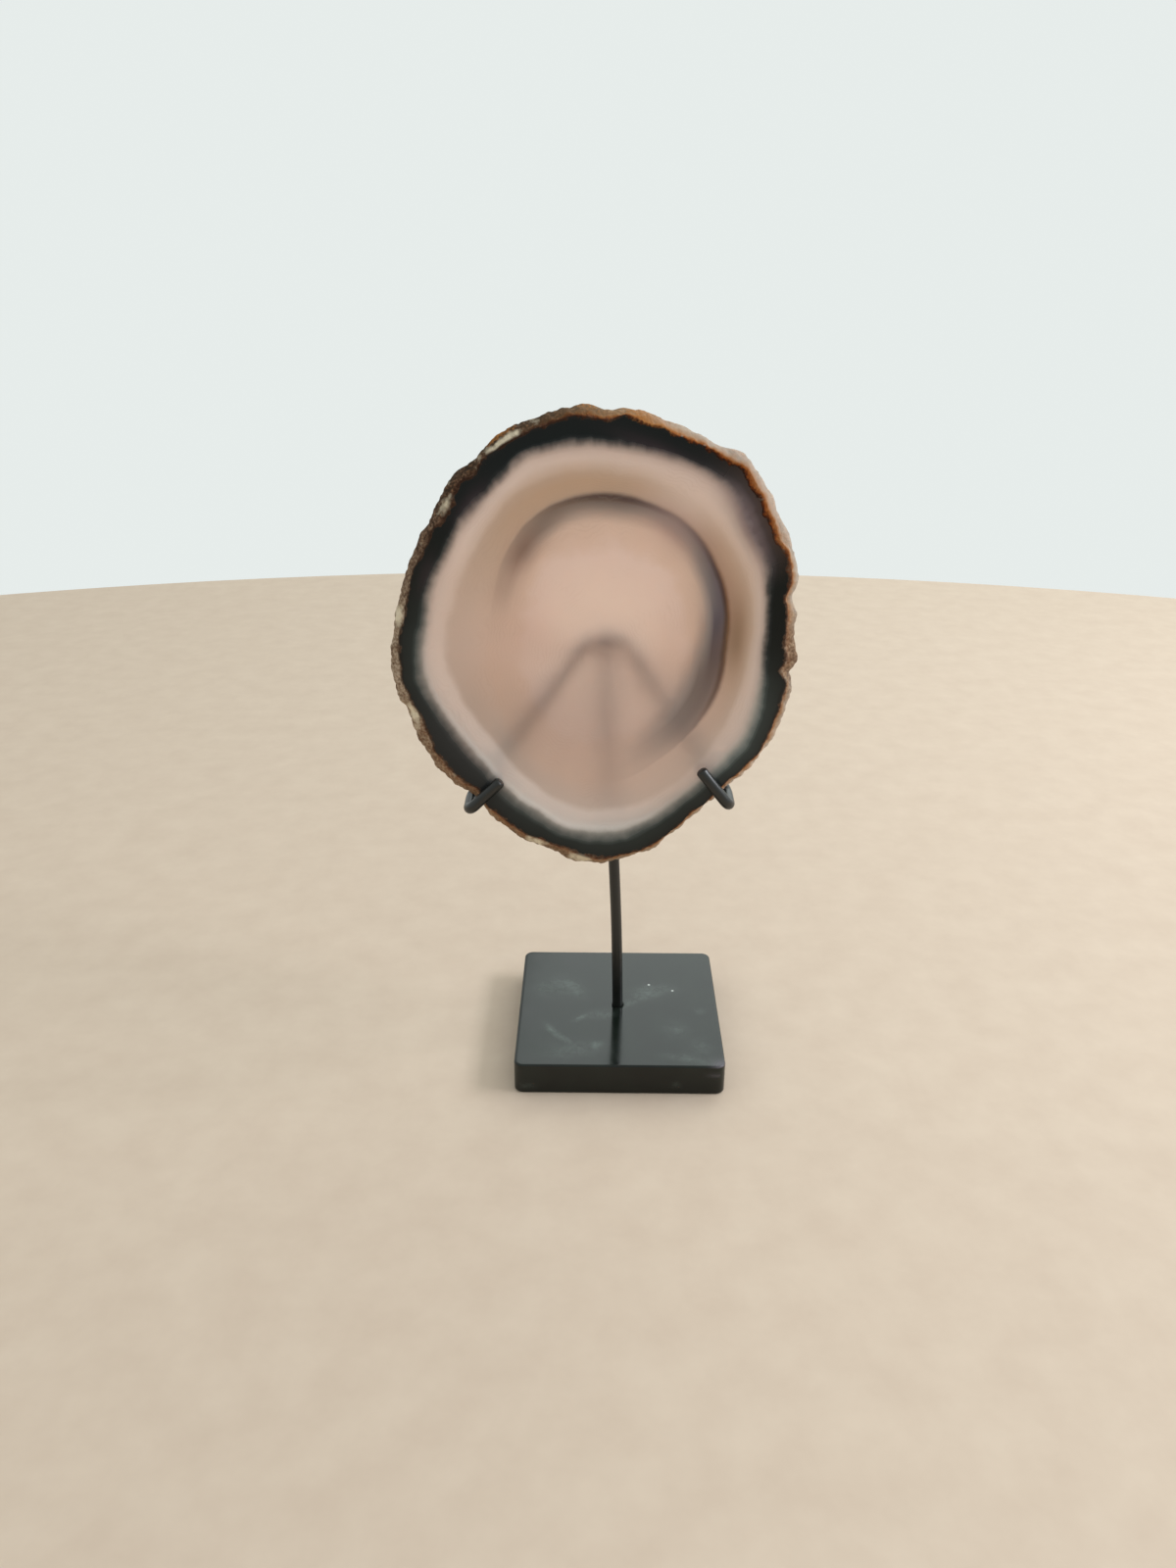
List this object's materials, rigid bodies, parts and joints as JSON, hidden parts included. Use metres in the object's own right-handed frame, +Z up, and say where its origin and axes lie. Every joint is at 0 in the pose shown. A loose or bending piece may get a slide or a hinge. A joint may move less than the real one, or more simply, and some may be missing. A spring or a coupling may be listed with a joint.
{
  "type": "agate slice on a stand",
  "caption": "Natural agate slice, sawn and polished, standing in the hooks of a bent rod stand on a square black stone base.",
  "frame": {"origin": "centre of the underside of the base", "axes": "+Z up, +Y from the slice's front face towards its back, +X to the right as seen from the front"},
  "size_m": [0.1442, 0.08, 0.2471],
  "materials": {
    "black_marble": "polished",
    "black_steel": "satin",
    "agate": "polished"
  },
  "bodies": {
    "root": {"base": "black_marble", "stem": "black_steel", "cradle": "black_steel", "agate_slice": "agate"}
  },
  "joints": []
}
